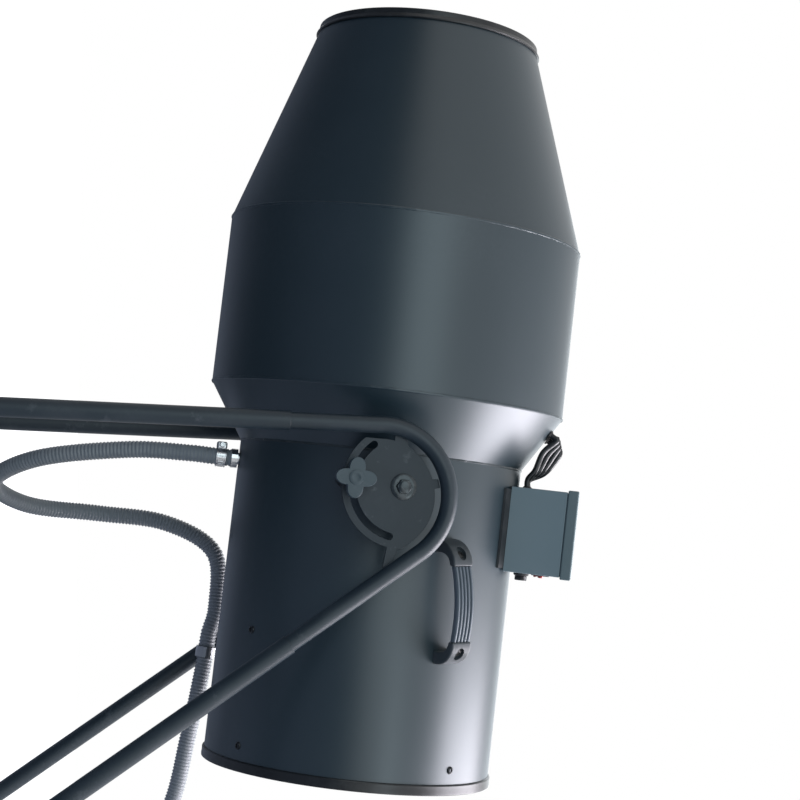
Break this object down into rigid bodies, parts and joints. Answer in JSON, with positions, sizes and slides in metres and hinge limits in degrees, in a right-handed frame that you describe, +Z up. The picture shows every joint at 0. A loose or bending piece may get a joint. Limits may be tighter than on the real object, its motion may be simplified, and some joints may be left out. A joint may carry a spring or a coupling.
{
  "type": "foam machine",
  "caption": "Foam machine with a tilting sheet-steel barrel on a bent-tube stand, clamp knobs, strap handles, control box and ribbed feed hose.",
  "frame": {"origin": "on the floor under the middle of the machine, without its hose", "axes": "+Z up; -X is where the barrel's outlet points; -Y is the side that the picture shows"},
  "size_m": [1.7027, 0.6231, 0.9782],
  "materials": {
    "barrel_paint": "satin",
    "rim_paint": "satin",
    "frame_paint": "satin",
    "plate_paint": "satin",
    "bracket_paint": "satin",
    "guard_wire": "satin",
    "motor_housing": "satin",
    "fan_metal": "satin",
    "plated_steel": "satin",
    "knob_plastic": "matte",
    "grip_plastic": "matte",
    "box_paint": "satin",
    "black_plastic": "matte",
    "rocker_plastic": "gloss",
    "lamp_plastic": "gloss",
    "cable_jacket": "satin",
    "hose_plastic": "satin",
    "clip_metal": "satin",
    "foot_rubber": "matte"
  },
  "bodies": {
    "stand": {"bow_left": "frame_paint", "front_leg_left": "frame_paint", "rear_leg_left": "frame_paint", "base_rail_left": "frame_paint", "pivot_plate_left": "plate_paint", "foot_front_left": "foot_rubber", "foot_rear_left": "foot_rubber", "bow_right": "frame_paint", "front_leg_right": "frame_paint", "rear_leg_right": "frame_paint", "base_rail_right": "frame_paint", "pivot_plate_right": "plate_paint", "foot_front_right": "foot_rubber", "foot_rear_right": "foot_rubber", "crossbar_front": "frame_paint", "crossbar_rear": "frame_paint", "hose_clip": "clip_metal", "hose_loop": "hose_plastic", "hose_run": "hose_plastic", "hose_coil": "hose_plastic", "hose_fitting": "plated_steel"},
    "barrel": {"rear_barrel": "barrel_paint", "flare_cone": "barrel_paint", "drum_shell": "barrel_paint", "nozzle_cone": "barrel_paint", "rear_rim": "rim_paint", "outlet_rim": "rim_paint", "intake_guard": "guard_wire", "fan_motor": "motor_housing", "motor_mount_rear": "bracket_paint", "motor_mount_front": "bracket_paint", "feed_nipple": "plated_steel", "hose_clamp": "plated_steel", "spray_ring": "plated_steel", "foam_screen": "plated_steel", "control_box": "box_paint", "box_lid": "box_paint", "box_saddle": "bracket_paint", "power_inlet": "black_plastic", "switch_bezel": "black_plastic", "switch_lamp": "lamp_plastic", "cable_1": "cable_jacket", "cable_2": "cable_jacket", "cable_3": "cable_jacket", "cable_4": "cable_jacket", "barrel_bracket_left": "bracket_paint", "pivot_bolt_left": "plated_steel", "handle_grip_left": "grip_plastic", "handle_front_cap_left": "grip_plastic", "handle_rear_cap_left": "grip_plastic", "barrel_bracket_right": "bracket_paint", "pivot_bolt_right": "plated_steel", "handle_grip_right": "grip_plastic", "handle_front_cap_right": "grip_plastic", "handle_rear_cap_right": "grip_plastic"},
    "fan": {"fan": "fan_metal"},
    "switch_rocker": {"switch_rocker": "rocker_plastic"},
    "clamp_knob_left": {"clamp_knob_left": "knob_plastic"},
    "clamp_knob_right": {"clamp_knob_right": "knob_plastic"}
  },
  "joints": [
    {"name": "barrel_tilt", "type": "hinge", "parent": "stand", "child": "barrel", "pos_m": [0.02629, 0, 0.68], "axis": [0, 1, 0], "range_deg": [-35, 43], "deforming": ["hose_loop"]},
    {"name": "fan_spin", "type": "hinge", "parent": "barrel", "child": "fan", "pos_m": [0.15104, 0, 0.6706], "axis": [-0.9934, 0, 0.1149], "continuous": true},
    {"name": "switch_rock", "type": "hinge", "parent": "barrel", "child": "switch_rocker", "pos_m": [0.14901, -0.06095, 0.90715], "axis": [-0.0307, -0.9636, -0.2655], "range_deg": [-18, 0]},
    {"name": "knob_turn_left", "type": "hinge", "parent": "barrel", "child": "clamp_knob_left", "pos_m": [0.0146, -0.275, 0.61504], "axis": [0, -1, 0], "range_deg": [0, 360]},
    {"name": "knob_turn_right", "type": "hinge", "parent": "barrel", "child": "clamp_knob_right", "pos_m": [0.0146, 0.275, 0.61504], "axis": [0, 1, 0], "range_deg": [0, 360]}
  ]
}
